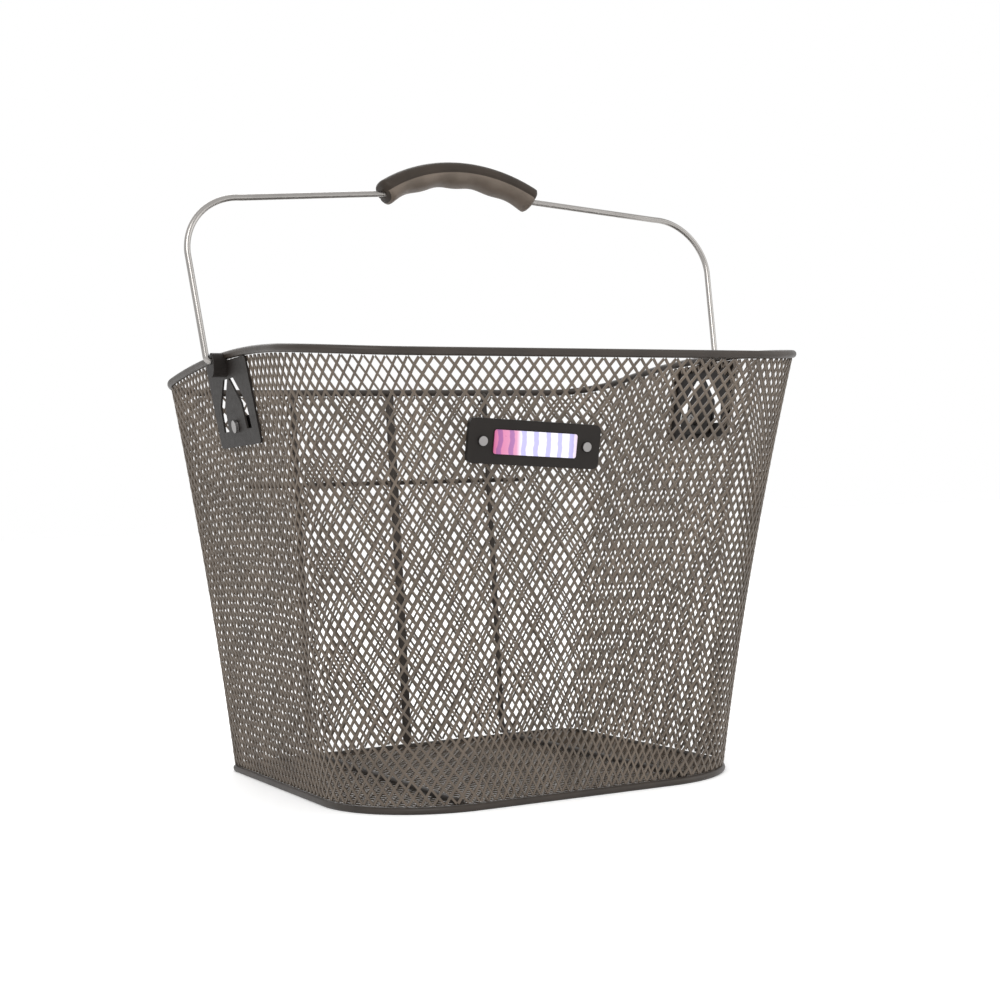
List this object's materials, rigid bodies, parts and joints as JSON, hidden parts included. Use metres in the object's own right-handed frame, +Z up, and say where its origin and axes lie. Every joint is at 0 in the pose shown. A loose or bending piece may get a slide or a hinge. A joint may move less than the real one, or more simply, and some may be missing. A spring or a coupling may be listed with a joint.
{
  "type": "handlebar basket",
  "caption": "Open-topped wire mesh basket on a wire frame, with a folding bail handle, plastic side hinge plates and a front badge",
  "frame": {"origin": "centre of the footprint, on the plane that the basket stands on", "axes": "+X to the right when facing the front, +Y towards the handlebar, -Y the front with the badge, +Z up"},
  "size_m": [0.3878, 0.3048, 0.4088],
  "materials": {
    "coated_mesh": "dark brown-grey powder coat",
    "coated_wire": "dark brown-grey powder coat",
    "black_plastic": "moulded brown-black plastic",
    "zinc": "zinc plated",
    "label_film": "printed film",
    "chrome_wire": "bright plated wire",
    "grip_plastic": "moulded dark grey-brown plastic"
  },
  "bodies": {
    "basket": {"wall_mesh": "coated_mesh", "floor_mesh": "coated_mesh", "rim_wire": "coated_wire", "base_wire": "coated_wire", "frame_wire_left": "coated_wire", "frame_wire_right": "coated_wire", "back_cross_wire": "coated_wire", "hinge_plate_left": "black_plastic", "hinge_plate_right": "black_plastic", "backing_plate_left": "black_plastic", "backing_plate_right": "black_plastic", "hinge_screw_left": "zinc", "hinge_screw_right": "zinc", "hinge_nut_left": "zinc", "hinge_nut_right": "zinc", "badge_plate": "black_plastic", "badge_label": "label_film", "badge_pin_left": "zinc", "badge_pin_right": "zinc", "badge_clip_left": "zinc", "badge_clip_right": "zinc"},
    "handle": {"bail_wire": "chrome_wire", "grip": "grip_plastic"}
  },
  "joints": [
    {"name": "handle_fold", "type": "hinge", "parent": "basket", "child": "handle", "pos_m": [0, -0.005, 0.2715], "axis": [1, 0, 0], "range_deg": [-74, 97]}
  ]
}
